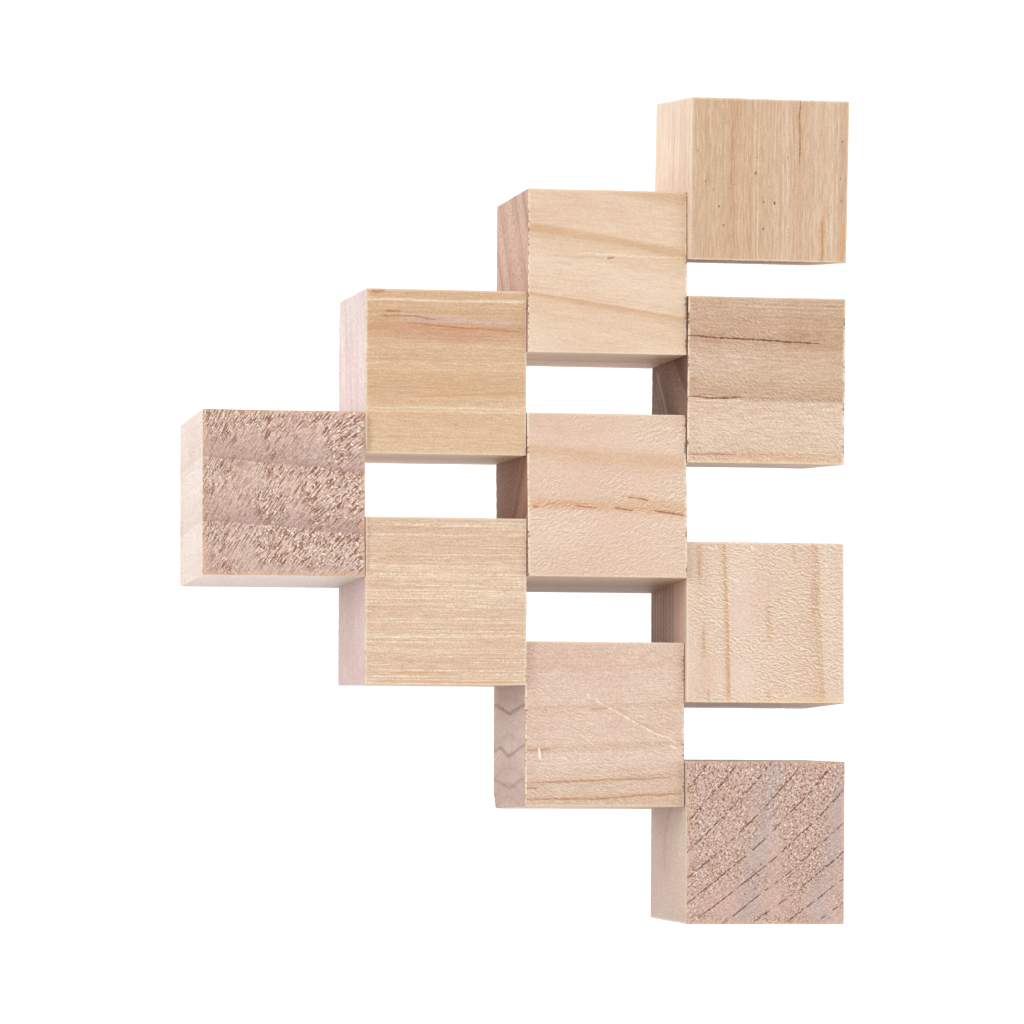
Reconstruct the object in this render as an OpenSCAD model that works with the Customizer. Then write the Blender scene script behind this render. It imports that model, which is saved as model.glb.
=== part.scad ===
// A pyramid of ten loose, solid wooden cubes, stacked by hand in rows of four, three, two and one.
// Each cube bridges the gap between the two cubes under it. Nothing joins them but their weight.
// +Z is up, X runs along the rows from left to right, and the front of the stack faces -Y.
// The origin is the middle of the stack's bounding box, on the surface that it stands on.

/* [Cubes] */
// Nominal side of a cube, which is also its height and its depth
side = 25; // [15:0.5:50]
// Leg of the small chamfer that eases every edge
ease = 0.3; // [0.1:0.05:1]

/* [Bottom row, left to right] */
// Width of each cube beyond the nominal side
bottom_extra = [0, -0.25, 0.75, 0]; // [-1:0.25:1]
// Gaps between neighbouring cubes
bottom_gaps = [8.5, 12.75, 6]; // [4:0.25:14]
// How far each cube is set back from the stack's middle plane
bottom_setback = [-0.5, 0, 0, -1.5]; // [-3:0.5:3]
// Turn of each cube in degrees, anticlockwise from above
bottom_turn = [-0.5, 1.5, -1.5, -4]; // [-6:0.5:6]

/* [Second row, left to right] */
// Width of each cube beyond the nominal side
second_extra = [0.25, 0.25, 0.25]; // [-1:0.25:1]
// Gaps between neighbouring cubes
second_gaps = [9.25, 9.75]; // [4:0.25:14]
// How far the row's middle lies to the right of the bottom row's middle
second_shift = 1; // [-3:0.25:3]
// How far each cube is set back from the stack's middle plane
second_setback = [1, 0, 0.5]; // [-3:0.5:3]
// Turn of each cube in degrees, anticlockwise from above
second_turn = [1.5, 4, 1]; // [-6:0.5:6]

/* [Third row, left to right] */
// Width of each cube beyond the nominal side
third_extra = [0.5, 0.25]; // [-1:0.25:1]
// Gap between the two cubes
third_gap = 9.5; // [4:0.25:14]
// How far the row's middle lies to the right of the bottom row's middle
third_shift = 2.5; // [-3:0.25:3]
// How far each cube is set back from the stack's middle plane
third_setback = [0, 1]; // [-3:0.5:3]
// Turn of each cube in degrees, anticlockwise from above
third_turn = [0, 0.5]; // [-6:0.5:6]

/* [Top cube] */
// Width of the cube beyond the nominal side
top_extra = 0.25; // [-1:0.25:1]
// How far the cube lies to the right of the bottom row's middle
top_shift = 0.75; // [-3:0.25:3]
// How far the cube is set back from the stack's middle plane
top_setback = 0.5; // [-3:0.5:3]
// Turn of the cube in degrees, anticlockwise from above
top_turn = 2.5; // [-6:0.5:6]

/* [Hidden] */

// Tones of the bare softwood, from end grain to clean side grain
end_grain = [0.79, 0.68, 0.63];
tan_wood = [0.85, 0.71, 0.59];
warm_wood = [0.86, 0.73, 0.63];
pale_wood = [0.90, 0.79, 0.70];

// Each row is [extra widths, gaps, shift, setbacks, turns], from the bottom up
rows = [
    [bottom_extra, bottom_gaps, 0, bottom_setback, bottom_turn],
    [second_extra, second_gaps, second_shift, second_setback, second_turn],
    [third_extra, [third_gap], third_shift, third_setback, third_turn],
    [[top_extra], [], top_shift, [top_setback], [top_turn]]
];

// Sum of the first n values of a list
function total(list, n) = n == 0 ? 0 : list[n - 1] + total(list, n - 1);

function width(row, i) = side + rows[row][0][i];
function setback(row, i) = rows[row][3][i];
function turn(row, i) = rows[row][4][i];

// Length of the row's first n cubes with the gaps that follow them
function run(row, n) = n * side + total(rows[row][0], n) + total(rows[row][1], min(n, len(rows[row][1])));

// Middle of cube i along its row, counted from the bottom row's middle
function along(row, i) = rows[row][2] - run(row, len(rows[row][0])) / 2 + run(row, i) + width(row, i) / 2;

// Half of what a turned, chamfered cube covers along X and along Y
function half_x(row, i) = width(row, i) / 2 * cos(turn(row, i)) + (side / 2 - ease) * abs(sin(turn(row, i)));
function half_y(row, i) = side / 2 * cos(turn(row, i)) + (width(row, i) / 2 - ease) * abs(sin(turn(row, i)));

// The stack's bounding box, and its middle, which becomes the origin
places = [for (row = [0:len(rows) - 1]) for (i = [0:len(rows[row][0]) - 1]) [row, i]];
left_end = min([for (p = places) along(p[0], p[1]) - half_x(p[0], p[1])]);
right_end = max([for (p = places) along(p[0], p[1]) + half_x(p[0], p[1])]);
front_end = min([for (p = places) setback(p[0], p[1]) - half_y(p[0], p[1])]);
back_end = max([for (p = places) setback(p[0], p[1]) + half_y(p[0], p[1])]);
middle_x = (left_end + right_end) / 2;
middle_y = (front_end + back_end) / 2;

// Rectangle with a chamfer at each corner
module eased_outline(a, b) {
    intersection() {
        square([a, b], center = true);
        rotate(45) square(((a + b) / 2 - ease) * sqrt(2), center = true);
    }
}

// Solid block with every edge eased, centred on the origin
module eased_block(w) {
    intersection() {
        linear_extrude(side, center = true) eased_outline(w, side);
        rotate([90, 0, 0]) linear_extrude(side, center = true) eased_outline(w, side);
        rotate([0, 90, 0]) linear_extrude(w, center = true) eased_outline(side, side);
    }
}

// Cube i of a row, counted from the left, where it stands in the stack
module stacked_cube(row, i) {
    translate([along(row, i) - middle_x, setback(row, i) - middle_y, (row + 0.5) * side])
        rotate(turn(row, i))
            eased_block(width(row, i));
}

module bottom_cube_left() {
    color(end_grain) stacked_cube(0, 0);
}

module bottom_cube_mid_left() {
    color(pale_wood) stacked_cube(0, 1);
}

module bottom_cube_mid_right() {
    color(warm_wood) stacked_cube(0, 2);
}

module bottom_cube_right() {
    color(tan_wood) stacked_cube(0, 3);
}

module second_row_cube_left() {
    color(pale_wood) stacked_cube(1, 0);
}

module second_row_cube_middle() {
    color(pale_wood) stacked_cube(1, 1);
}

module second_row_cube_right() {
    color(pale_wood) stacked_cube(1, 2);
}

module third_row_cube_left() {
    color(pale_wood) stacked_cube(2, 0);
}

module third_row_cube_right() {
    color(tan_wood) stacked_cube(2, 1);
}

module top_cube() {
    color(end_grain) stacked_cube(3, 0);
}

bottom_cube_left();
bottom_cube_mid_left();
bottom_cube_mid_right();
bottom_cube_right();
second_row_cube_left();
second_row_cube_middle();
second_row_cube_right();
third_row_cube_left();
third_row_cube_right();
top_cube();
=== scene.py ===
"""Looks of a hand-stacked pyramid of ten bare softwood cubes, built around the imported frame.

Each cube is a dense mesh of its own. Growth rings, saw marks, cracks, fuzz and frayed edges are worked out
for every point of it, carved into the mesh, and handed to the material as mesh attributes.
Places on a front face are in millimetres from its left edge and down from its top edge.
"""

from math import cos, radians, sin
from types import SimpleNamespace

import bpy
import numpy as np
from mathutils import Matrix, Vector


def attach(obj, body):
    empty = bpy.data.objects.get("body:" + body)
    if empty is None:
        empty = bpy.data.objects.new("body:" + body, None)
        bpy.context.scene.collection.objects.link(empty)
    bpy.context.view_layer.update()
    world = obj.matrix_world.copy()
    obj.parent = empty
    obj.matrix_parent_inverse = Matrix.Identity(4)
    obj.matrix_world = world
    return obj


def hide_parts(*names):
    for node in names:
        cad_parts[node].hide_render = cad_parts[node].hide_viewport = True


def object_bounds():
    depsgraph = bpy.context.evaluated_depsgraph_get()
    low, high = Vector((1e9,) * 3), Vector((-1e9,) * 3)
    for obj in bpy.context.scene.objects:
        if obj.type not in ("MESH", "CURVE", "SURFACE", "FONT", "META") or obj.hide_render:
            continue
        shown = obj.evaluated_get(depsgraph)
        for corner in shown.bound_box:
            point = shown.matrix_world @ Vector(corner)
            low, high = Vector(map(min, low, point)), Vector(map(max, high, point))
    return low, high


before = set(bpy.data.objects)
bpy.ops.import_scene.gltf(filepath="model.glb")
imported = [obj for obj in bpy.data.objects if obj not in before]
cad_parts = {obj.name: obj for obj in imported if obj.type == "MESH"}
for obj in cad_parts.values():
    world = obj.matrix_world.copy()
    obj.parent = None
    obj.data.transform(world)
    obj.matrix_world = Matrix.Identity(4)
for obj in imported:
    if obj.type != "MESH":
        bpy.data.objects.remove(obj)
cad_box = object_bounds()

MM = 0.001

# Camera: angles in degrees, lengths in metres, lens in millimetres
CAMERA_AZIMUTH = -2.5
CAMERA_ELEVATION = 11.2
CAMERA_ROLL = 89.2  # the picture lies on its side: the stack's top points to its left
CAMERA_DISTANCE = 0.85
CAMERA_LENS = 193.0
CAMERA_AIM_X = -0.001

# Floor and light around the stack, lengths in metres
FLOOR_GAP = 0.05 * MM  # how far the floor lies below the cubes
FLOOR_REACH = 6.0  # from the middle to each wall
WALL_HEIGHT = 0.42
FLOOR_TONE = 0.13  # dark, because the glow alone already makes it white
FLOOR_GLOW = 1.0
WORLD_STRENGTH = 0.35

# Mesh of a cube, in millimetres
EDGE_STEPS = (0.0, 0.06, 0.13, 0.22, 0.34, 0.5)
FINE_CELLS = 148  # across the width and the height
COARSE_CELLS = 52  # across the depth
ROUNDING = 0.15  # usual radius of an eased edge

# How far the mesh is carved inside the CAD cube, in millimetres
FACE_SINK = 0.02  # a whole face, on average
EARLY_SINK = 0.025  # early wood, on side grain
FIBRE_SINK = 0.012  # up and down along the fibres
FUZZ_SINK = 0.02  # between raised fibres
SAW_CUT = 0.1
TEAR_CUT = 0.08
NOTCH_CUT = 0.12
PORE_CUT = 0.08

# Wood
RING_SPAN = 30.0  # ring pattern in millimetres, mirrored beyond that
TILE = 32  # lattice size of the random tables
FACE = 25.0  # places on every face run from 0 to this, whatever the cube's exact size
FACING = 0.72  # how squarely a point has to face forward, up or left to count as on that face
UNMARKED = -0.5  # depth inside a mark, in millimetres, of a point that is far from every mark
FIRST_SEED = 7  # the first cube's first seed for random tables
SEED_STEP = 100  # from one cube's seeds to the next one's
STROKE_SEEDS = 20  # within a cube's, where the seeds of its strokes and of its tints start
TINT_SEEDS = 70


# ---------------------------------------------------------------- helpers


def srgb(*rgb):
    """A colour from 0-255 screen values, as linear numbers."""
    c = np.array(rgb, float) / 255
    return np.where(c <= 0.04045, c / 12.92, ((c + 0.055) / 1.055) ** 2.4)


def noise(points, size, seed):
    """Smooth random values from -1 to 1. size is how wide the features are, one number or one per axis."""
    table = np.random.default_rng(seed).uniform(-1, 1, (TILE, TILE, TILE))
    place = np.asarray(points, float) / np.asarray(size, float)
    cell = np.floor(place).astype(int)
    part = place - cell
    part = part * part * (3 - 2 * part)
    total = 0
    for corner in np.ndindex(2, 2, 2):
        i, j, k = ((cell + corner) % TILE).T
        share = np.prod(np.where(corner, part, 1 - part), axis=1)
        total = total + share * table[i, j, k]
    return total


def noise2(u, v, size, seed):
    """noise() over two coordinates."""
    return noise(np.stack([u, v, np.zeros_like(u)], 1), (*size, 1.0), seed)


def ramp(value, low, high):
    """0 below low, 1 above high, and smooth in between. low may be the larger one."""
    t = np.clip((value - low) / (high - low), 0, 1)
    return t * t * (3 - 2 * t)


# ---------------------------------------------------------------- the ten cubes

# Tones as 0-255 screen values
CREAM = (250, 233, 209)
CRACK = (132, 64, 22)
BARK = (138, 78, 38)
RUST = (178, 112, 78)
ORANGE = (218, 164, 108)


def cube(**facts):
    """What a cube is made of: the usual values, then its own. pale and dark are its early and late wood."""
    usual = dict(
        grain="z",  # axis that the grain runs along
        ring=(1.0, 0.0, 0.0),  # ring millimetres per millimetre right, down and back
        curl=(0.0, 0.0),  # bend of the rings with depth, and the depth where they turn
        darkness=((0, 0.0), (25, 0.0)),  # (ring place, 0 pale to 1 dark, below 0 towards cream)
        end_pale=(222, 192, 172),  # the same two tones on end grain
        end_dark=(186, 146, 124),
        fibre=0.5,  # strength of the short fibres
        lines=0.3,  # strength of the long lines
        grit=0.5,  # strength of the fine grit
        beads=0.0,  # strength of thin light lines of beaded fibre
        # raised fibres: carved, and drawn with painted light on one flank and painted shade on the other
        fuzz=0.1,  # strength of the raised fibres on side grain
        fuzz_lean=60,  # their lean, in degrees from level
        fuzz_size=(0.12, 0.4),  # their width and length
        fuzz_more=(0.0, 0.0),  # how much more of them to the right and further down
        saw=(-0.6, 1.0, 0.0, 0.0),  # saw marks on end grain: phase by u, v, u squared and v squared
        saw_start=0.5,  # phase of one mark
        saw_pitch=0.9,
        saw_lines=0.3,  # strength of the regular marks
        saw_strokes=0.2,  # strength of the loose strokes between them
        torn=0.35,  # strength of the torn fibres on end grain
        torn_size=(0.14, 0.4),  # their width and length
        torn_spare=1.1,  # how far late wood is spared
        torn_patch=0.4,  # how patchy they are
        torn_right=0.0,  # how much more of them to the right
        fleck_size=(0.13, 0.22),  # width and length of the pale flecks among them
        flecks=1.0,  # strength of the flecks
        fray=0.5,  # how ragged the sawn ends are
        rim=0.0,  # warm rim around sawn ends
        chip=0.0,  # size of the piece broken off the top left corner at the back
        # top and left: painted shade and painted light over those faces, with shares that change from front
        # to back
        top=(CREAM, 0.0, 0.0),  # tone laid over the top face, with its share at the front and at the back
        left=(CREAM, 0.0, 0.0),  # the same for the left side
        strokes=(),  # cracks, streaks and scratches on the front
        tints=(),  # soft tints on the front
        top_tints=(),  # the same on the top face, in millimetres from the left and from the front
        pores=(),  # pores on the front: millimetres right and down, and strength
    )
    return SimpleNamespace(**{**usual, **facts})


def stroke(path, width, tone, strength=1.0, cut=0.0):
    """A crack, streak, scratch or soft tint: points, width, colour, strength, and depth of cut."""
    return SimpleNamespace(path=path, width=width, tone=tone, strength=strength, cut=cut)


CUBES = {
    "bottom_cube_right": cube(
        grain="x", ring=(0.0, 1.0, 0.25), pale=(220, 190, 161), dark=(204, 164, 126),
        darkness=((0, 0.3), (1.2, 0.55), (2.5, 0.4), (4.5, 0.45), (5.8, 0.5), (6.4, 0.8), (6.9, 0.85),
                  (7.4, 0.55), (8.5, 0.45), (10, 0.55), (12, 0.45), (14, 0.2), (15.5, 0.1), (17.0, 0.5),
                  (17.8, 0.45), (18.6, 0.15), (19.5, 0.0), (20.5, 0.15), (22.5, 0.0), (23.5, 0.3),
                  (24.3, 0.6), (27, 0.3), (30, 0.2)),
        fibre=1.0, lines=1.0, grit=0.5, fuzz=0.05, fray=0.35, torn=0.5,
        pores=((13.5, 10.3, 1), (9, 13.4, 1), (8.3, 4.6, 0.7), (5.4, 5.4, 0.7), (10.8, 3.6, 0.4),
               (12.1, 2.4, 0.5), (16.8, 1.1, 0.4), (15.6, 6.6, 0.7), (11.7, 7, 0.4), (15.9, 10.5, 0.4),
               (5, 11.7, 0.8), (9.1, 11.7, 0.7), (11.5, 12.5, 0.3), (16, 15.4, 0.4), (11.1, 16.4, 0.4),
               (13, 23.8, 0.5), (9.6, 24, 0.5), (18.7, 24, 0.6)),
        strokes=(
            stroke(((15.2, 17.2), (18.5, 17.2), (25, 17.1)), 0.22, (168, 104, 62), 0.85, 0.05),
            stroke(((0.2, 21.1), (3.5, 21.2), (6.6, 21.0)), 0.24, (190, 126, 76), 0.7, 0.05),
            stroke(((2, 22.4), (11, 22.3)), 0.24, CREAM, 0.3),
            stroke(((9, 6.6), (25, 6.4)), 0.22, RUST, 0.3),
            stroke(((0, 1.3), (12, 1.0)), 0.3, (206, 158, 112), 0.35),
        ),
        tints=(
            stroke(((0.4, 24.2), (6, 24.5)), 0.8, ORANGE, 0.6),
            stroke(((0, 21.1), (7, 21.1)), 0.9, ORANGE, 0.45),
        ),
        # painted sheen: a pale cream over the top face, a little stronger towards the back
        top=((250, 230, 212), 0.6, 0.7),
        top_tints=(
            stroke(((12, 4.5), (25, 4.5)), 3.0, (228, 198, 170), 0.5),
            stroke(((10, 12), (25, 12)), 0.9, (206, 184, 168), 0.6),
        ),
    ),
    "bottom_cube_mid_right": cube(
        pale=(229, 203, 179), dark=(194, 156, 125), ring=(1.0, 0.02, -0.6),
        darkness=((0, 0.5), (1.4, 0.45), (2.5, 0.22), (4, 0.08), (5.5, 0.0), (8.5, 0.08), (9.7, 0.12),
                  (9.9, 0.8), (11, 0.9), (12.5, 0.75), (13.5, 0.55), (15, 0.5), (17.3, 0.65), (18.3, 0.95),
                  (19.6, 0.9), (20.6, 0.85), (22, 0.78), (23.5, 0.75), (25, 0.65), (27, 0.2), (30, 0.1)),
        # dark end tones: they paint the shade on its top, deep in the gap between the two cubes on it
        end_pale=(172, 136, 114), end_dark=(118, 82, 64),
        fibre=1.1, lines=0.7, grit=1.1, fuzz=0.5, fuzz_lean=58, fuzz_size=(0.12, 0.36),
        fuzz_more=(-1.0, 0.0), fray=1.0,
        strokes=(
            stroke(((19.0, 0.1), (18.8, 5), (18.6, 10), (18.4, 15), (18.2, 20.8)),
                   0.22, (128, 70, 32), 1.0, 0.2),
            stroke(((9.9, 0.0), (9.8, 4), (9.9, 8.4)), 0.2, CRACK, 0.85, 0.3),
            stroke(((1.4, 0.0), (1.3, 7.6)), 0.22, (176, 108, 72), 0.7, 0.05),
        ),
        tints=(
            stroke(((1.3, 7), (1.2, 25)), 0.4, ORANGE, 0.6),
            stroke(((12.2, 0.2), (12.5, 1.6)), 0.7, RUST, 0.45),
            stroke(((12.3, 1), (12.0, 8), (12.2, 16), (12.3, 25)), 0.7, (212, 172, 130), 0.3),
            stroke(((9.9, 8), (9.8, 25)), 0.4, RUST, 0.3),
            stroke(((0.3, 0), (0.3, 25)), 0.8, (236, 196, 150), 0.6),
        ),
        # painted shade in the gap: on the top and the left, darker towards the back
        top=((92, 50, 34), 0.35, 0.65),
        left=((80, 56, 56), 0.0, 0.4),
        top_tints=(
            stroke(((14.2, 21.5), (7.5, 14.0)), 1.0, (184, 166, 154), 0.6),
            stroke(((12.6, 22.0), (5.5, 14.5)), 0.7, (170, 152, 140), 0.4),
            stroke(((14.4, 11.3), (10.7, 7.9)), 1.0, (160, 142, 130), 0.45),
        ),
    ),
    "bottom_cube_mid_left": cube(
        grain="x", ring=(0.04, 1.0, -1.3), pale=(234, 210, 191), dark=(210, 164, 122),
        darkness=((0, 0.15), (1.5, 0.15), (2.8, 0.35), (4, 0.25), (5.5, 0.12), (6.3, 0.3), (6.7, 0.9),
                  (7.05, 1.0), (7.15, 0.1), (8.5, 0.0), (10, 0.05), (12, 0.15), (14, 0.2), (17, 0.24),
                  (19, 0.32), (20.2, 0.45), (21.2, 0.7), (21.7, 0.75), (21.9, 0.2), (23, 0.05), (25, 0.1),
                  (27, 0.4), (30, 0.2)),
        fibre=0.25, lines=0.1, grit=0.8, fuzz=0.9, fuzz_lean=75, fuzz_size=(0.15, 0.32),
        fuzz_more=(0.4, 0.7), fray=0.3,
        strokes=(
            stroke(((8.5, 2.8), (11.5, 2.8)), 0.2, RUST, 0.4),
            stroke(((19, 2.1), (22.5, 2.0)), 0.2, RUST, 0.45),
            stroke(((0.4, 3.4), (2.2, 3.4)), 0.2, RUST, 0.45),
        ),
        tints=(
            stroke(((7, 2.7), (12.5, 2.8)), 0.8, (200, 144, 108), 0.35),
            stroke(((18.5, 2.2), (24.5, 1.9)), 0.8, (200, 144, 108), 0.4),
            stroke(((9.5, 13.3), (15, 12.9)), 0.8, (206, 150, 104), 0.45),
            stroke(((0, 13), (2, 13)), 0.6, ORANGE, 0.6),
            stroke(((22, 17.1), (25, 17)), 0.5, RUST, 0.35),
            stroke(((14, 20.2), (20, 20.4)), 1.0, RUST, 0.3),
            stroke(((0.4, 6), (0.4, 25)), 1.0, (240, 204, 154), 0.6),
        ),
        # painted shade in the gap: on the top and the left, darker towards the back
        top=((120, 70, 44), 0.0, 0.75),
        left=((80, 56, 56), 0.1, 0.4),
        # dark ring lines on the top, drawn stronger towards the back, where they also paint the shade of the
        # gap
        top_tints=tuple(
            stroke(((0, y), (25, y)), 0.8, (96, 42, 20), 0.1 + 0.025 * y)
            for y in (9.6, 11.6, 13.9, 15.8, 18.1, 20.0, 22.0, 23.7)
        ),
    ),
    "bottom_cube_left": cube(
        grain="y", ring=(-0.2, 1.0, 0.03), pale=(203, 181, 166), dark=(190, 162, 148),
        end_pale=(212, 180, 166), end_dark=(198, 177, 169),
        darkness=((0, 0.25), (2, 0.0), (6, 0.1), (7.6, 0.5), (8.6, 1.0), (9.8, 0.8), (11.2, 0.15),
                  (14, 0.0), (18, 0.15), (19.4, 0.6), (20.6, 0.9), (21.8, 0.4), (23, 0.1), (26, 0.3),
                  (30, 0.0)),
        fibre=0.3, lines=0.2, grit=1.5, fuzz=0.1, saw=(-1.45, 1.0, 0.0135, 0.0), saw_start=0.5, saw_pitch=3.3,
        saw_lines=1.0, saw_strokes=0.3, torn=1.0, torn_size=(0.14, 0.18), torn_spare=0.5, torn_patch=0.6,
        torn_right=1.0, flecks=0.85, fray=0.4, rim=0.8,
        top_tints=(
            stroke(((7.5, 14.5), (11, 15.5), (14, 14.5), (17, 12), (18.5, 9)), 1.2, (186, 150, 142), 0.5),
            stroke(((4, 2), (24, 2)), 6.0, (208, 190, 170), 0.3),
        ),
        pores=((1.7, 12.7, 1), (21.5, 1.5, 0.8), (1.3, 3, 0.6), (5.5, 10.9, 0.7), (4.6, 9.3, 0.6),
               (7.6, 11.3, 0.7), (9.2, 11.8, 0.8), (11, 9.2, 0.8), (4.4, 15.3, 0.6), (10.5, 8.3, 0.7),
               (24.5, 14.5, 0.6), (12.4, 22.6, 0.5)),
    ),
    "second_row_cube_right": cube(
        pale=(236, 210, 184), dark=(217, 179, 140), ring=(1.0, 0.15, -1.5),
        end_pale=(222, 188, 168), end_dark=(184, 140, 120),
        darkness=((0, 0.0), (1.5, 0.0), (3.5, 0.1), (5, 0.22), (6.2, 0.42), (6.5, 0.3), (7.4, 0.3),
                  (8.4, 0.4), (8.9, 0.75), (9.4, 1.0), (9.52, 0.15), (11, 0.14), (14, 0.0), (15.2, 0.05),
                  (16, 0.33), (17, 0.35), (18.1, 0.4), (18.8, 0.95), (19.5, 1.0), (19.9, 0.5),
                  (20.2, 0.22), (22, 0.2), (26, 0.2), (26.7, 0.7), (27.5, 0.8), (28.5, 0.6), (30, 0.2)),
        fibre=0.4, lines=0.5, grit=0.5, fuzz=0.15, fuzz_lean=62, fray=0.8, torn=0.5,
        strokes=(
            stroke(((14.6, 12.4), (14.8, 13.6)), 0.34, RUST, 0.7, 0.08),
            stroke(((15.2, 8), (15.0, 16), (14.9, 24.5)), 0.24, CREAM, 0.5),
            stroke(((14.8, 4), (14.6, 12)), 0.24, RUST, 0.2),
        ),
    ),
    "second_row_cube_middle": cube(
        pale=(231, 203, 182), dark=(218, 180, 146), ring=(1.0, 0.055, 0.8),
        darkness=((0, 0.25), (2, 0.26), (5, 0.08), (8, 0.0), (9.8, 0.1), (10.6, 0.35), (11, 0.75),
                  (11.7, 0.75), (12.5, 0.5), (13.5, 0.25), (16, 0.15), (17.8, 0.4), (18.8, 0.85),
                  (19.5, 0.85), (20.1, 0.4), (20.8, 0.12), (23, 0.15), (25, 0.2), (30, 0.1)),
        # dark end tones: they paint the shade on its top, deep in the gap between the two cubes on it
        end_pale=(190, 148, 126), end_dark=(150, 106, 84),
        fibre=0.4, lines=0.15, grit=0.7, fuzz=0.6, fuzz_lean=115, fuzz_size=(0.14, 0.4),
        fuzz_more=(-1.0, 0.2), fray=1.0,
        # painted shade in the gap: on the top and the left, darker towards the back
        top=((104, 52, 34), 0.15, 0.5),
        left=((96, 52, 36), 0.0, 0.55),
        strokes=(
            stroke(((10.9, 7.4), (10.7, 9), (10.5, 11.2)), 0.24, (196, 112, 72), 0.8, 0.12),
            stroke(((10.6, 13.5), (10.4, 15), (10.2, 16.6)), 0.22, (158, 96, 62), 0.8, 0.12),
            stroke(((12.3, 15.6), (12.1, 17), (11.8, 19.0)), 0.22, (172, 98, 70), 0.85, 0.12),
            stroke(((10.3, 19.8), (9.9, 22.5), (9.6, 24.6)), 0.24, (164, 98, 62), 0.85, 0.15),
            stroke(((10.7, 0.9), (10.5, 1.7)), 0.3, (196, 100, 80), 0.8, 0.1),
        ),
        tints=(
            stroke(((10.8, 0), (11.1, 3), (10.8, 12), (10.2, 25)), 1.2, (218, 158, 114), 0.5),
            stroke(((11.1, 3), (10.9, 9)), 0.5, (212, 140, 100), 0.4),
            stroke(((12.3, 15), (11.5, 20), (10.8, 25)), 1.2, (216, 160, 118), 0.35),
        ),
    ),
    "second_row_cube_left": cube(
        pale=(229, 201, 184), dark=(206, 168, 136), ring=(1.0, -0.05, 0.0), curl=(0.013, 14.0),
        end_pale=(210, 188, 176), end_dark=(186, 158, 146),
        darkness=((0, 0.65), (0.7, 0.6), (0.95, 1.0), (1.3, 0.5), (2.2, 0.4), (3.2, 0.5), (3.5, 0.95),
                  (3.8, 0.5), (5, 0.25), (6.5, 0.0), (7.7, 0.05), (8.2, 0.5), (8.6, 0.55), (9.2, 0.22),
                  (11, 0.18), (13.5, 0.15), (14.3, 0.4), (14.6, 0.5), (15.1, 0.2), (18, 0.12), (20.4, 0.2),
                  (20.8, 0.4), (21.3, 0.25), (23, 0.2), (25, 0.3), (30, 0.2)),
        fibre=0.6, lines=0.35, grit=1.0, fuzz=0.5, fuzz_lean=72, fuzz_size=(0.12, 0.5), fray=1.0, chip=1.3,
        strokes=(
            stroke(((8.7, 24.0), (9.3, 22.7)), 0.36, CREAM, 0.7, 0.05),
            stroke(((9.6, 23.9), (10.9, 21.6)), 0.3, CREAM, 0.6, 0.05),
            stroke(((10.5, 21.8), (12.5, 17.9), (14.6, 13.9), (15.9, 11.2)),
                   0.2, (250, 236, 212), 0.95, 0.06),
            stroke(((15.7, 11.8), (16.3, 11.0)), 0.34, CREAM, 0.75, 0.05),
            stroke(((16.4, 10.1), (17.2, 9.9)), 0.34, CREAM, 0.6, 0.05),
            # painted shadow: a fine brown line beside the raised scratch
            stroke(((10.9, 21.6), (12.8, 17.9), (14.9, 14.2)), 0.16, (192, 146, 116), 0.5, 0.06),
            stroke(((7.0, 2.45), (8.8, 2.2)), 0.32, (255, 246, 226), 1.0, -0.15),
            # painted shadow under the splinter above, in a shallow cut
            stroke(((7.3, 2.8), (8.6, 2.6)), 0.16, RUST, 0.3, 0.05),
            stroke(((14.7, 10.2), (14.9, 13.2)), 0.2, RUST, 0.6, 0.1),
            stroke(((1.1, 0.3), (1.2, 10), (1.8, 20), (2.0, 24.6)), 0.24, (176, 120, 84), 0.7, 0.08),
            stroke(((3.6, 1), (3.9, 10), (4.2, 16), (4.4, 23)), 0.22, (176, 128, 96), 0.65, 0.05),
            stroke(((2.8, 0.3), (2.8, 2.0)), 0.26, RUST, 0.8, 0.15),
            stroke(((8.4, 0.0), (8.6, 4)), 0.3, RUST, 0.4, 0.1),
        ),
        top_tints=(
            stroke(((4.4, 0), (3.0, 12), (4.6, 25)), 0.5, (132, 100, 92), 0.4),
            stroke(((9.4, 0), (7.8, 13), (9.4, 19), (8.8, 25)), 0.5, (120, 88, 80), 0.6),
            stroke(((15.4, 0), (14.4, 12), (16.2, 25)), 0.5, (112, 80, 70), 0.6),
            stroke(((20.0, 0), (20.0, 25)), 8.0, (160, 122, 106), 0.3),
        ),
    ),
    "third_row_cube_right": cube(
        pale=(223, 189, 152), dark=(206, 160, 120), ring=(1.0, 0.0, -2.2),
        end_pale=(246, 230, 226), end_dark=(232, 208, 202),
        darkness=((0, 0.1), (1.5, 0.05), (6.2, 0.16), (6.4, -0.4), (6.6, 0.16), (6.95, -0.4), (7.2, 0.16),
                  (8.5, 0.2), (8.9, 0.45), (10, 0.5), (12, 0.42), (13.5, 0.2), (15, 0.25), (16.5, 0.4),
                  (18, 0.6), (19.3, 0.9), (20, 0.6), (22.2, 0.5), (23.1, 0.45), (23.25, -0.45),
                  (23.45, -0.45), (23.6, 0.4), (25, 0.4), (27, 0.2), (30, 0.0)),
        fibre=0.7, lines=0.5, grit=0.8, fuzz=0.15, fuzz_lean=85, beads=0.2, fray=0.4, torn=0.2,
        # painted reflection: the left side lighter, most of all at the front
        left=((255, 240, 228), 0.6, 0.3),
        strokes=(
            stroke(((19.9, 6.5), (19.4, 12), (19.2, 16), (18.9, 24)), 0.22, (180, 112, 82), 0.7, 0.05),
            stroke(((20.9, 2.0), (20.9, 7), (20.5, 10.8)), 0.22, (172, 102, 76), 0.75, 0.03),
            stroke(((21.6, 3.0), (21.6, 5.6)), 0.22, (164, 94, 70), 0.75, 0.03),
            stroke(((8.7, 7), (9.1, 15), (9.5, 25)), 0.3, (212, 160, 104), 0.6),
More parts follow.
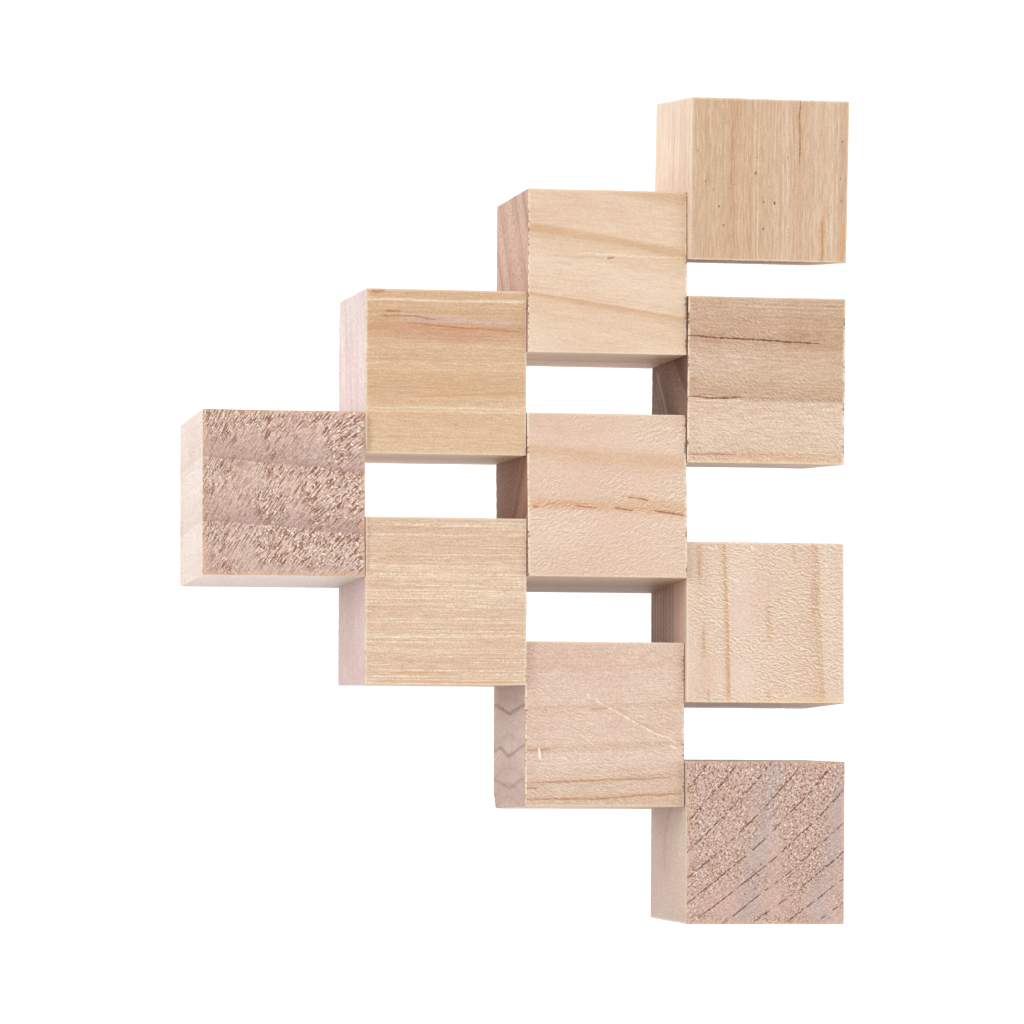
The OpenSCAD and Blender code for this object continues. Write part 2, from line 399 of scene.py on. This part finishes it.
            stroke(((17.6, 4.5), (17.4, 24)), 0.2, (196, 144, 108), 0.5),
            stroke(((18.1, 4), (18.0, 20)), 0.2, (190, 134, 100), 0.45),
        ),
        tints=(
            stroke(((24.7, 1.0), (24.8, 2.8)), 0.7, RUST, 0.7),
            # painted shadow of the top cube along the top left of the front
            stroke(((0.0, 0.2), (5.5, 0.2)), 1.3, (158, 126, 92), 0.5),
            stroke(((20.9, 5), (20.4, 12), (20.2, 24)), 1.0, (206, 182, 166), 0.55),
            stroke(((19.7, 0), (18.8, 8), (18.2, 24)), 2.6, (204, 146, 114), 0.35),
            stroke(((10.4, 8), (10.2, 24)), 1.6, (214, 172, 122), 0.4),
        ),
        top_tints=tuple(
            stroke(((0, y), (25, y + 1.5)), 0.8, (216, 186, 182), 0.4) for y in (7, 13, 17, 23)
        ),
    ),
    "third_row_cube_left": cube(
        pale=(225, 193, 165), dark=(216, 183, 152), ring=(1.0, 0.0, -1.6),
        end_pale=(224, 202, 196), end_dark=(208, 182, 174),
        darkness=((0, 0.5), (0.9, 0.2), (1.05, -0.4), (1.2, 0.3), (4.8, 0.2), (4.9, -0.4), (5.05, 0.3),
                  (5.4, -0.2), (5.7, 0.2), (6.95, 0.1), (7.1, -0.7), (7.3, -0.5), (7.4, 0.5), (9.15, 0.2),
                  (9.25, -0.4), (9.4, 0.3), (11.7, 0.3), (11.8, -0.7), (11.95, 0.4), (13.5, -0.2),
                  (13.7, 0.3), (14.1, -0.3), (14.3, 0.2), (16.0, 0.3), (16.1, -0.8), (16.25, 0.5),
                  (17.8, -0.3), (18.0, 0.4), (22.4, 0.2), (22.5, -0.5), (22.65, 0.4), (30, 0.2)),
        fibre=0.8, lines=0.6, grit=0.9, fuzz=0.25, fuzz_lean=88, fuzz_size=(0.12, 0.5), beads=1.0,
        fray=0.35, torn=0.2,
        strokes=(
            stroke(((1.8, 4), (1.9, 13)), 0.24, ORANGE, 0.8),
            stroke(((0.4, 2), (0.4, 23)), 0.3, ORANGE, 0.6),
        ),
        # painted shadow of the top cube along the top right of the front
        tints=(stroke(((16.5, 0.1), (25, 0.1)), 1.0, (170, 132, 98), 0.5),),
        top_tints=tuple(
            stroke(((0, y), (25, y)), 0.8, (196, 168, 162), 0.25) for y in (6, 11, 16, 21)
        ),
    ),
    "top_cube": cube(
        grain="y", ring=(1.0, 0.076, 0.02), pale=(243, 227, 216), dark=(233, 209, 195),
        end_pale=(225, 196, 181), end_dark=(188, 157, 147),
        darkness=((0, 0.35), (2, 0.35), (5, 0.05), (7.5, 0.15), (8.1, 0.0), (8.3, 1.0), (8.8, 0.75),
                  (9.8, 0.6), (11.5, 0.3), (13, 0.1), (15, 0.0), (17, 0.15), (17.65, 0.1), (17.8, 0.9),
                  (18.4, 0.65), (20, 0.5), (22, 0.15), (25, 0.05), (27, 0.3), (30, 0.1)),
        fibre=0.3, lines=0.2, grit=1.6, fuzz=0.05, saw=(1.0, -1.85, 0.0, 0.021), saw_start=0.0,
        saw_pitch=0.95, saw_lines=0.15, saw_strokes=1.0, torn=1.0, torn_size=(0.11, 0.8),
        torn_patch=0.7, torn_spare=1.0, flecks=1.1, fray=1.1, rim=1.0,
        # painted shade on the left side, darker towards the back
        left=((150, 112, 108), 0.0, 0.3),
    ),
}


# ---------------------------------------------------------------- mesh of a cube


def block_frame(cad):
    """A CAD cube's turn, middle and half sizes in millimetres, read from its own mesh."""
    front = max(cad.data.polygons, key=lambda face: -face.area * face.normal.y)
    turn = np.arctan2(front.normal.x, -front.normal.y)
    across = np.array([cos(turn), sin(turn), 0.0])
    back = np.array([-sin(turn), cos(turn), 0.0])
    axes = np.stack([across, back, [0.0, 0.0, 1.0]])
    points = np.array([v.co for v in cad.data.vertices]) @ axes.T / MM
    low, high = points.min(0), points.max(0)
    return axes, (low + high) / 2, (high - low) / 2


def mesh_lines(half, cells):
    """Where the mesh lines cross a side: close together at both edges and even in between."""
    edge = np.array(EDGE_STEPS)
    middle = np.linspace(-half + edge[-1], half - edge[-1], cells + 1)[1:-1]
    return np.concatenate([-half + edge, middle, half - edge[::-1]])


def box_surface(lines):
    """Points and quads of a box whose faces carry the given lines along X, Y and Z."""
    counts = [len(line) for line in lines]
    steps = (counts[1] * counts[2], counts[2], 1)
    quads = []
    for axis in range(3):
        u, v = (axis + 1) % 3, (axis + 2) % 3
        i, j = np.meshgrid(np.arange(counts[u] - 1), np.arange(counts[v] - 1), indexing="ij")
        first = (i * steps[u] + j * steps[v]).ravel()
        loop = np.stack([first, first + steps[u], first + steps[u] + steps[v], first + steps[v]], 1)
        quads.append(loop[:, ::-1])
        quads.append(loop + (counts[axis] - 1) * steps[axis])
    codes, corners = np.unique(np.concatenate(quads), return_inverse=True)
    index = np.unravel_index(codes, counts)
    points = np.stack([line[i] for line, i in zip(lines, index, strict=True)], 1)
    return points, corners.reshape(-1, 4)


def rounded(points, half, seed):
    """The points moved onto a box with uneven round edges, and the outward direction at each."""
    radius = ROUNDING * (1 + 0.35 * noise(points, 2.2, seed) + 0.25 * noise(points, 0.9, seed + 1))
    radius = np.clip(radius, 0.08, EDGE_STEPS[-1])[:, None]
    core = np.clip(points, -(half - radius), half - radius)
    out = points - core
    out /= np.linalg.norm(out, axis=1, keepdims=True)
    return core + out * radius, out


def stroke_depth(across, down, mark, seed):
    """How deep each point of a face lies inside a stroke, in millimetres. Below 0 is outside."""
    wander = 0.1 * noise2(across, down, (1.6, 1.6), seed)
    half = mark.width / 2 * (1 + 0.35 * noise2(across, down, (0.6, 0.6), seed + 1))
    path = np.array(mark.path, float)
    lengths = np.linalg.norm(np.diff(path, axis=0), axis=1)
    inside = np.full_like(across, -np.inf)
    run = 0.0
    for a, b, length in zip(path, path[1:], lengths, strict=False):
        along = (b - a) / length
        t = (across - a[0]) * along[0] + (down - a[1]) * along[1]
        off = (across - a[0]) * along[1] - (down - a[1]) * along[0] + wander
        near = np.clip(t, 0, length)
        done = (run + near) / lengths.sum()
        taper = np.sqrt(np.clip(5 * np.minimum(done, 1 - done) + 0.2, 0, 1))
        inside = np.maximum(inside, half * taper - np.hypot(off, t - near))
        run += length
    return inside


def paint(colour, cover, tone, strength):
    """Lays a tone over RGBA colours, as far as cover and strength say."""
    share = (cover * strength)[:, None]
    total = colour[:, 3:] * (1 - share) + share
    mixed = colour[:, :3] * colour[:, 3:] * (1 - share) + srgb(*tone) * share
    colour[:, :3] = np.where(total > 0, mixed / np.maximum(total, 1e-9), srgb(*tone))
    colour[:, 3:] = total


def front_marks(facts, front, across, down, seed):
    """Cracks, scratches and pores: depth inside the nearest one, its tone with its strength, and the cut."""
    inside = np.full(len(across), UNMARKED)
    tone = np.tile([*srgb(*RUST), 0.0], (len(across), 1))
    cut = np.zeros(len(across))
    for number, mark in enumerate(facts.strokes):
        here = np.where(front, stroke_depth(across, down, mark, seed + STROKE_SEEDS + 2 * number), UNMARKED)
        tone[here > inside] = [*srgb(*mark.tone), mark.strength]
        inside = np.maximum(inside, here)
        cut += mark.cut * ramp(here, -0.12, 0.06)
    for x, d, strength in facts.pores:
        radius = 0.11 + 0.06 * strength
        here = np.where(front, radius - np.hypot((across - x) * 0.8, down - d), UNMARKED)
        tone[here > inside] = [*srgb(*BARK), strength]
        inside = np.maximum(inside, here)
        cut += PORE_CUT * ramp(here, -0.1, 0.05)
    return inside, tone, cut


def soft_tints(facts, out, across, back, down, seed):
    """The tones laid over the front, the top and the left, as one RGBA colour per point. The shares on the
    top and the left, and a few front tints, are painted shade and painted light.
    """
    tint = np.zeros((len(across), 4))
    front, top, left = out[:, 1] < -FACING, out[:, 2] > FACING, out[:, 0] < -FACING
    for number, mark in enumerate(facts.tints):
        here = stroke_depth(across, down, mark, seed + TINT_SEEDS + 2 * number)
        paint(tint, ramp(here, -0.4 * mark.width, 0.3 * mark.width) * front, mark.tone, mark.strength)
    # painted shade and painted light over the top and the left, changing from front to back
    for face, (tone, near_share, far_share) in ((top, facts.top), (left, facts.left)):
        paint(tint, face * (near_share + (far_share - near_share) * back / FACE), tone, 1)
    for number, mark in enumerate(facts.top_tints):
        here = stroke_depth(across, back, mark, seed + TINT_SEEDS + 2 * number)
        paint(tint, ramp(here, -0.4 * mark.width, 0.3 * mark.width) * top, mark.tone, mark.strength)
    return tint


def new_mesh(name, points, quads):
    """A smooth mesh from arrays of points and quads."""
    mesh = bpy.data.meshes.new(name)
    mesh.vertices.add(len(points))
    mesh.vertices.foreach_set("co", points.ravel())
    mesh.loops.add(quads.size)
    mesh.loops.foreach_set("vertex_index", quads.ravel())
    mesh.polygons.add(len(quads))
    mesh.polygons.foreach_set("loop_start", np.arange(0, quads.size, 4))
    mesh.polygons.foreach_set("use_smooth", np.ones(len(quads), bool))
    mesh.update(calc_edges=True)
    return mesh


def cube_piece(name, facts, seed):
    """The detailed piece that stands for one CAD cube. sink is how deep each point of it is carved."""
    axes, middle, half = block_frame(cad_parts[name])
    cells = (FINE_CELLS, COARSE_CELLS, FINE_CELLS)
    flat, quads = box_surface([mesh_lines(h, n) for h, n in zip(half, cells, strict=True)])
    points, out = rounded(flat, half, seed)

    across, back, up = ((flat / half + 1) * FACE / 2).T
    down = FACE - up
    places = (across, back, down)
    grain_axis = "xyz".index(facts.grain)
    beside_axes = [axis for axis in range(3) if axis != grain_axis]
    end = ramp(np.abs(out[:, grain_axis]), 0.6, 0.8)
    side = 1 - end
    front = out[:, 1] < -FACING

    # growth rings, in millimetres across them. late is 1 in late wood
    wave_size = np.full(3, 3.0)
    wave_size[grain_axis] = 11.0
    ring = facts.ring[0] * across + facts.ring[1] * down + facts.ring[2] * back
    bend, turn_at = facts.curl
    ring += bend * ((back - turn_at) ** 2 - turn_at**2)
    ring += 0.25 * noise(flat, wave_size, seed + 2) + 0.08 * noise(flat, wave_size / 3, seed + 3)
    place = np.abs((ring + RING_SPAN) % (2 * RING_SPAN) - RING_SPAN)
    stops = np.array(facts.darkness)
    late = np.clip(np.interp(place, stops[:, 0], stops[:, 1]), 0, 1)

    # a nearly flat face: soft early wood stands a little lower, and fibres run along the grain
    fibre_size = np.full(3, 0.35)
    fibre_size[grain_axis] = 5.0
    sink = FACE_SINK * (1 + noise(flat, 6.0, seed + 4))
    sink += side * (EARLY_SINK * (1 - late) + FIBRE_SINK * noise(flat, fibre_size, seed + 5))

    # in the plane of each face, u runs level and v runs down or back
    facing = np.argmax(np.abs(out), axis=1)
    u = np.where(facing == 0, back, across)
    v = np.where(facing == 2, back, down)

    # end grain: saw marks, and torn fibres between them where the wood is soft
    ku, kv, kuu, kvv = facts.saw
    mid_u, mid_v = ku + FACE * kuu, kv + FACE * kvv
    steep = np.hypot(mid_u, mid_v)
    phase = ku * u + kv * v + kuu * u * u + kvv * v * v - facts.saw_start
    phase = phase / steep + 0.15 * noise2(u, v, (4.0, 4.0), seed + 6)
    run = (mid_u * v - mid_v * u) / steep
    from_mark = np.abs((phase / facts.saw_pitch + 0.5) % 1 - 0.5) * facts.saw_pitch
    torn = facts.torn_patch * noise2(u, v, (3.5, 3.5), seed + 8) - facts.torn_spare * late
    torn = ramp(torn + facts.torn_right * (across / FACE - 0.5), -0.8, 0.0) * facts.torn
    tear = noise2(phase, run, (0.4, 1.6), seed + 9)
    sink += end * SAW_CUT * facts.saw_lines * ramp(from_mark, 0.22, 0.05)
    sink += end * TEAR_CUT * torn * ramp(tear, 0.1, 0.6)

    # side grain: raised fibres in short strokes, most of them on the front
    lean = radians(facts.fuzz_lean)
    fuzz_run = u * cos(lean) - v * sin(lean) + 0.3 * noise2(u, v, (1.3, 1.3), seed + 10)
    fuzz_off = u * sin(lean) + v * cos(lean) + 0.3 * noise2(u, v, (1.3, 1.3), seed + 11)
    more = facts.fuzz_more[0] * (across / FACE - 0.5) + facts.fuzz_more[1] * (down / FACE - 0.5)
    fuzz = ramp(noise2(u, v, (4.5, 4.5), seed + 14) + more, -1.0, 0.4) * facts.fuzz
    fuzz *= np.where(front, 1.0, 0.3)
    sink += side * fuzz * FUZZ_SINK * (1 - noise2(fuzz_off, fuzz_run, (0.35, 1.1), seed + 12))

    # ragged edges where the saw crossed the grain
    to_end = half[grain_axis] - np.abs(flat[:, grain_axis])
    which = facing * 7.0 + np.sign(flat[:, grain_axis]) * 2.0
    beside = places[beside_axes[0]] + places[beside_axes[1]]
    bite = noise2(beside, which, (0.2, 1.0), seed + 15) + 0.5 * noise2(beside, which, (1.6, 1.0), seed + 16)
    reach = facts.fray * (0.08 + 0.5 * ramp(bite, 0.3, 1.4))
    notch = side * ramp(to_end, reach, reach * 0.4) * ramp(bite, 0.3, 0.6)
    tooth = side * ramp(to_end, facts.fray * (0.35 - 0.3 * bite), 0.05) * ramp(bite, 0.3, -0.1)
    sink += NOTCH_CUT * notch * facts.fray

    inside, mark_tone, cut = front_marks(facts, front, across, down, seed)
    sink += cut

    if facts.chip:
        slope = np.sqrt(1 / 3)
        corner = (across + (2 * half[1] - back) + down) * slope
        lost = facts.chip + 0.35 * noise(flat, 0.6, seed + 17) - corner
        points += np.array([slope, -slope, -slope]) * np.clip(lost, 0, None)[:, None]
    points -= out * sink[:, None]
    mesh = new_mesh(name + "_wood", ((points + middle) @ axes) * MM, quads)

    ring_by_axis = (facts.ring[0], facts.ring[2], facts.ring[1])
    i, j = beside_axes
    pitch = np.hypot(ring_by_axis[i], ring_by_axis[j])
    beside_ring = (ring_by_axis[i] * places[j] - ring_by_axis[j] * places[i]) / pitch
    wood = np.stack([ring / pitch, beside_ring, places[grain_axis]], 1) + 0.5 * seed
    strokes = np.stack([fuzz_off, fuzz_run, fuzz], 1) * side[:, None]
    strokes += np.stack([phase, run, torn], 1) * end[:, None]
    put(mesh, "wood", "FLOAT_VECTOR", "vector", wood)
    put(mesh, "ring", "FLOAT", "value", place / RING_SPAN)
    put(mesh, "end", "FLOAT", "value", end)
    put(mesh, "strokes", "FLOAT_VECTOR", "vector", strokes)
    put(mesh, "fray", "FLOAT", "value", notch - tooth)
    put(mesh, "edge", "FLOAT", "value", np.sort(half - np.abs(flat), axis=1)[:, 1])
    put(mesh, "inside", "FLOAT", "value", inside)
    put(mesh, "mark", "FLOAT_COLOR", "color", mark_tone)
    put(mesh, "tint", "FLOAT_COLOR", "color", soft_tints(facts, out, across, back, down, seed))
    piece = bpy.data.objects.new(name + "_wood", mesh)
    bpy.context.scene.collection.objects.link(piece)
    return piece


def put(mesh, name, kind, field, values):
    """Stores one value per vertex for the material to read."""
    attribute = mesh.attributes.new(name, kind, "POINT")
    attribute.data.foreach_set(field, np.ascontiguousarray(values, np.float32).ravel())


# ---------------------------------------------------------------- wood material

# Tones of what lies on the rings' colours, as 0-255 screen values
PATCH = (240, 206, 200)
DARK_LINE = (178, 128, 88)
BEAD = (252, 236, 212)
# painted light and painted shade on the two flanks of the raised fibres
FUZZ_PAINTED_SHADE = (196, 150, 116)
FUZZ_PAINTED_LIGHT = (253, 240, 218)
SAW_STROKE = (134, 78, 44)
TORN_FIBRE = (148, 88, 54)
SAW_MARK = (104, 54, 26)
FLECK = (253, 240, 220)
# painted highlight along eased edges
PAINTED_EDGE_HIGHLIGHT = (255, 238, 210)
WARM_RIM = (240, 188, 146)
END_NOTCH = (160, 104, 62)
SPLINTER = (255, 240, 214)


class Graph:
    """Short ways to add nodes to a material. An input that is a socket is linked, and any other is set."""

    def __init__(self, name):
        self.material = bpy.data.materials.new(name)
        self.material.use_nodes = True
        self.tree = self.material.node_tree
        self.tree.nodes.clear()

    def node(self, kind, inputs, output=0, **settings):
        node = self.tree.nodes.new(kind)
        for key, value in settings.items():
            setattr(node, key, value)
        for key, value in inputs.items():
            if isinstance(value, bpy.types.NodeSocket):
                self.tree.links.new(value, node.inputs[key])
            else:
                node.inputs[key].default_value = value
        return node.outputs[output]

    def attribute(self, name, output="Fac"):
        return self.node("ShaderNodeAttribute", {}, output, attribute_name=name)

    def math(self, operation, a, b=0.0):
        return self.node("ShaderNodeMath", {0: a, 1: b}, operation=operation)

    def times(self, *factors):
        total = factors[0]
        for factor in factors[1:]:
            total = self.math("MULTIPLY", total, factor)
        return total

    def noise(self, vector, factors, detail=2.0, distortion=0.0, shift=0.0):
        """Noise at a place. factors are how many features a millimetre holds, and shift picks other noise."""
        place = self.node("ShaderNodeVectorMath", {0: vector, 1: factors}, operation="MULTIPLY")
        if shift:
            place = self.node("ShaderNodeVectorMath", {0: place, 1: (shift, 0.0, 0.0)}, operation="ADD")
        inputs = {"Vector": place, "Scale": 1.0, "Detail": detail, "Distortion": distortion}
        return self.node("ShaderNodeTexNoise", inputs, "Fac")

    def spread(self, value, low, high, to_low=0.0, to_high=1.0):
        """to_low where the value is at low, to_high where it is at high, and smooth in between."""
        inputs = {"Value": value, "From Min": low, "From Max": high, "To Min": to_low, "To Max": to_high}
        return self.node("ShaderNodeMapRange", inputs, interpolation_type="SMOOTHSTEP")

    def mix(self, factor, a, b, blend="MIX"):
        return self.node("ShaderNodeMix", {0: factor, 6: a, 7: b}, 2, data_type="RGBA", blend_type=blend)

    def strokes(self, place, size, *settings):
        """noise() of short strokes. size is their width and length in millimetres."""
        wide, long = size
        return self.noise(place, (0.5 / wide, 0.5 / long, 0.0), *settings)


def rgba(rgb):
    return (*srgb(*rgb), 1.0)


def ring_shares(g, darkness):
    """How dark and how creamy the growth rings are, from the ring place."""
    rings = g.tree.nodes.new("ShaderNodeValToRGB")
    g.tree.links.new(g.attribute("ring"), rings.inputs[0])
    stops = rings.color_ramp.elements
    while len(stops) < len(darkness):
        stops.new(0.5)
    for stop, (place, share) in zip(stops, darkness, strict=True):
        stop.position = place / RING_SPAN
        stop.color = (max(share, 0.0), max(-share, 0.0), 0.0, 1.0)
    split = g.tree.nodes.new("ShaderNodeSeparateColor")
    g.tree.links.new(rings.outputs[0], split.inputs[0])
    return split.outputs[0], split.outputs[1]


def wood_material(name, facts):
    """Bare softwood, coloured by its rings, fibres, saw marks, raised fibres, ragged edges and marks."""
    g = Graph(name)
    wood = g.attribute("wood", "Vector")
    end = g.attribute("end")
    side = g.math("SUBTRACT", 1.0, end)
    dark_share, cream_share = ring_shares(g, facts.darkness)
    side_tone = g.mix(dark_share, rgba(facts.pale), rgba(facts.dark))
    side_tone = g.mix(cream_share, side_tone, rgba(CREAM))
    end_tone = g.mix(dark_share, rgba(facts.end_pale), rgba(facts.end_dark))
    colour = g.mix(end, side_tone, end_tone)

    # broad patches, a little pinker
    patches = g.noise(wood, (0.16, 0.16, 0.07))
    colour = g.mix(g.spread(patches, 0.4, 0.7, 0.0, 0.2), colour, rgba(PATCH), "MULTIPLY")

    # soft tints on the front, the top and the left, among them painted shade and painted light
    colour = g.mix(g.attribute("tint", "Alpha"), colour, g.attribute("tint", "Color"))

    # long straight lines, light and dark
    lines = g.noise(wood, (3.6, 1.6, 0.012), 3.0)
    light_line = g.times(g.spread(lines, 0.56, 0.74), side, 0.4 * facts.lines)
    dark_line = g.times(g.spread(lines, 0.46, 0.3), side, 0.3 * facts.lines)
    colour = g.mix(light_line, colour, rgba(CREAM))
    colour = g.mix(dark_line, colour, rgba(DARK_LINE))

    if facts.beads:
        threads = g.spread(g.noise(wood, (4.2, 4.2, 0.02), 1.0, 0.0, 5.5), 0.56, 0.62)
        beads = g.spread(g.noise(wood, (5.0, 1.0, 3.0)), 0.36, 0.56)
        colour = g.mix(g.times(threads, beads, side, 0.6 * facts.beads), colour, rgba(BEAD))

    # short fibres along the grain, and fine grit
    fibres = g.noise(wood, (5.5, 5.5, 0.4), 3.0)
    grit = g.noise(wood, (4.2, 4.2, 4.2), 2.0)
    shade = g.spread(fibres, 0.3, 0.7, 1.0 - 0.13 * facts.fibre, 1.0 + 0.13 * facts.fibre)
    speck = g.spread(grit, 0.32, 0.68, 1.0 - 0.13 * facts.grit, 1.0 + 0.13 * facts.grit)
    shade = g.times(shade, speck)
    red, blue = g.math("POWER", shade, 0.8), g.math("POWER", shade, 1.3)
    colour = g.mix(1.0, colour, g.node("ShaderNodeCombineColor", {0: red, 1: shade, 2: blue}), "MULTIPLY")

    # raised fibres on side grain, with painted light on one flank and painted shade on the other
    strokes = g.attribute("strokes", "Vector")
    split = g.tree.nodes.new("ShaderNodeSeparateXYZ")
    g.tree.links.new(strokes, split.inputs[0])
    phase, run, amount = split.outputs
    fuzz = g.strokes(strokes, facts.fuzz_size, 1.0, 0.5)
    flank = g.math("SUBTRACT", fuzz, g.strokes(strokes, facts.fuzz_size, 1.0, 0.5, 0.4))
    fuzz_painted_light = g.times(g.spread(flank, 0.01, 0.1), amount, side, 0.7)
    fuzz_painted_shade = g.times(g.spread(flank, -0.02, -0.12), amount, side, 0.55)
    colour = g.mix(fuzz_painted_shade, colour, rgba(FUZZ_PAINTED_SHADE))
    colour = g.mix(fuzz_painted_light, colour, rgba(FUZZ_PAINTED_LIGHT))

    # end grain: loose saw strokes, then torn fibres with pale flecks
    saw_strokes = g.noise(strokes, (5.4, 0.5, 0.0), 2.0, 0.2, 11.3)
    where = g.spread(amount, 0.0, 0.6, 0.5, 1.0)
    end_strokes = g.times(g.spread(saw_strokes, 0.55, 0.575), end, where, 0.9 * facts.saw_strokes)
    dark_bits = g.strokes(strokes, facts.torn_size, 2.0, 0.4, 31.7)
    light_bits = g.strokes(strokes, facts.fleck_size, 1.5, 0.4, 67.1)
    end_dark = g.times(g.spread(dark_bits, 0.55, 0.59), amount, end, 0.9)
    end_light = g.times(g.spread(light_bits, 0.58, 0.64), amount, end, 0.95 * facts.flecks)
    colour = g.mix(end_strokes, colour, rgba(SAW_STROKE))
    colour = g.mix(end_dark, colour, rgba(TORN_FIBRE))

    # regular saw marks, broken into dashes
    cell = g.math("ADD", g.math("DIVIDE", phase, facts.saw_pitch), 0.5)
    from_mark = g.math("ABSOLUTE", g.math("SUBTRACT", g.math("FRACT", cell), 0.5))
    ragged = g.math("MULTIPLY", g.math("SUBTRACT", grit, 0.5), 0.3)
    from_mark = g.math("ADD", g.math("MULTIPLY", from_mark, facts.saw_pitch), ragged)
    dash_place = g.node("ShaderNodeCombineXYZ", {0: g.math("FLOOR", cell), 1: run})
    dash = g.spread(g.noise(dash_place, (3.7, 0.8, 0.0), 3.0), 0.42, 0.5)
    saw_mark = g.times(g.spread(from_mark, 0.13, 0.07), dash, end, 0.85 * facts.saw_lines)
    colour = g.mix(saw_mark, colour, rgba(SAW_MARK))
    colour = g.mix(end_light, colour, rgba(FLECK))

    # ragged ends: orange-brown notches and pale splinters
    fray = g.attribute("fray")
    edge = g.attribute("edge")
    # painted highlight along the eased edges of side grain
    colour = g.mix(g.times(g.spread(edge, 0.45, 0.1), side, 0.4), colour, rgba(PAINTED_EDGE_HIGHLIGHT))
    if facts.rim:
        patchy = g.spread(patches, 0.35, 0.6, 0.3, 1.0)
        rim = g.times(g.spread(edge, 0.9, 0.1), end, patchy, 0.5 * facts.rim)
        colour = g.mix(rim, colour, rgba(WARM_RIM))
    colour = g.mix(g.times(g.spread(fray, 0.1, 0.6), 0.7), colour, rgba(END_NOTCH))
    colour = g.mix(g.times(g.spread(fray, -0.1, -0.7), 0.6), colour, rgba(SPLINTER))

    # cracks, streaks, scratches and pores
    inside = g.math("ADD", g.attribute("inside"), g.math("MULTIPLY", g.math("SUBTRACT", grit, 0.5), 0.4))
    cover = g.times(g.spread(inside, -0.06, 0.05), g.attribute("mark", "Alpha"))
    colour = g.mix(cover, colour, g.attribute("mark", "Color"))

    rough = g.spread(fibres, 0.3, 0.7, 0.45, 0.58)
    relief = g.math("ADD", g.math("ADD", fuzz_painted_light, end_light), g.math("MULTIPLY", fibres, 0.5))
    relief = g.math("SUBTRACT", relief, g.math("ADD", saw_mark, end_dark))
    height = g.math("ADD", relief, g.math("MULTIPLY", grit, 0.4))
    bump = g.node("ShaderNodeBump", {"Strength": 0.6, "Distance": 0.06 * MM, "Height": height})
    surface = g.node("ShaderNodeBsdfPrincipled", {"Base Color": colour, "Roughness": rough, "Normal": bump})
    output = g.tree.nodes.new("ShaderNodeOutputMaterial")
    g.tree.links.new(surface, output.inputs[0])
    return g.material


# ---------------------------------------------------------------- floor, light and camera


def add_floor():
    """Plain near-white floor with a low wall far around it, so that level views end in white too."""
    corners = ((-1, -1), (1, -1), (1, 1), (-1, 1))
    points = [(x * FLOOR_REACH, y * FLOOR_REACH, z) for z in (0.0, WALL_HEIGHT) for x, y in corners]
    walls = [(i, (i + 1) % 4, (i + 1) % 4 + 4, i + 4) for i in range(4)]
    mesh = bpy.data.meshes.new("floor")
    mesh.from_pydata(points, [], [(0, 1, 2, 3), *walls])
    material = bpy.data.materials.new("floor")
    material.use_nodes = True
    inputs = material.node_tree.nodes["Principled BSDF"].inputs
    inputs["Base Color"].default_value = (FLOOR_TONE, FLOOR_TONE, FLOOR_TONE, 1.0)
    inputs["Roughness"].default_value = 0.9
    inputs["Emission Color"].default_value = (1.0, 1.0, 1.0, 1.0)
    inputs["Emission Strength"].default_value = FLOOR_GLOW
    mesh.materials.append(material)
    floor = bpy.data.objects.new("floor", mesh)
    floor.location.z = cad_box[0][2] - FLOOR_GAP
    bpy.context.scene.collection.objects.link(floor)


def add_sun(name, place, softness, strength, rgb=(1.0, 1.0, 1.0)):
    """Soft even light that shines from the given direction. softness is its width in degrees."""
    light = bpy.data.lights.new(name, "SUN")
    light.angle = radians(softness)
    light.energy = strength
    light.color = rgb
    lamp = bpy.data.objects.new(name, light)
    lamp.rotation_euler = (-Vector(place)).to_track_quat("-Z", "Y").to_euler()
    bpy.context.scene.collection.objects.link(lamp)


def add_camera():
    """The photo's camera, aimed at the middle of the stack."""
    azimuth, elevation, roll = radians(CAMERA_AZIMUTH), radians(CAMERA_ELEVATION), radians(CAMERA_ROLL)
    aim = Vector((CAMERA_AIM_X, 0, (cad_box[0][2] + cad_box[1][2]) / 2))
    back = Vector((sin(azimuth) * cos(elevation), -cos(azimuth) * cos(elevation), sin(elevation)))
    right = Vector((0, 0, 1)).cross(back).normalized()
    up = back.cross(right)
    turned_right = right * cos(roll) - up * sin(roll)
    turned_up = right * sin(roll) + up * cos(roll)
    camera = bpy.data.cameras.new("camera")
    camera.lens = CAMERA_LENS
    camera.sensor_width = 36.0
    camera.clip_start = 0.01
    camera.clip_end = 50.0
    eye = bpy.data.objects.new("camera", camera)
    turn = Matrix((turned_right, turned_up, back)).transposed().to_4x4()
    eye.matrix_world = Matrix.Translation(aim + back * CAMERA_DISTANCE) @ turn
    bpy.context.scene.collection.objects.link(eye)
    bpy.context.scene.camera = eye


add_camera()
add_floor()
add_sun("key", (0.3, -0.6, 1.0), 50, 1.48)
add_sun("overhead", (0.0, 0.3, 1.0), 40, 1.2, (0.96, 0.98, 1.0))
add_sun("left", (-1.0, 0.4, 0.4), 60, 0.5, (0.85, 0.94, 1.0))

world = bpy.data.worlds.new("studio")
world.use_nodes = True
background = world.node_tree.nodes["Background"].inputs
background["Color"].default_value = (1.0, 1.0, 1.0, 1.0)
background["Strength"].default_value = WORLD_STRENGTH
bpy.context.scene.world = world
bpy.context.scene.view_settings.view_transform = "Standard"

for number, (name, facts) in enumerate(CUBES.items()):
    piece = cube_piece(name, facts, SEED_STEP * number + FIRST_SEED)
    piece.data.materials.append(wood_material(name + "_wood", facts))
    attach(piece, name)
    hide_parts(name)
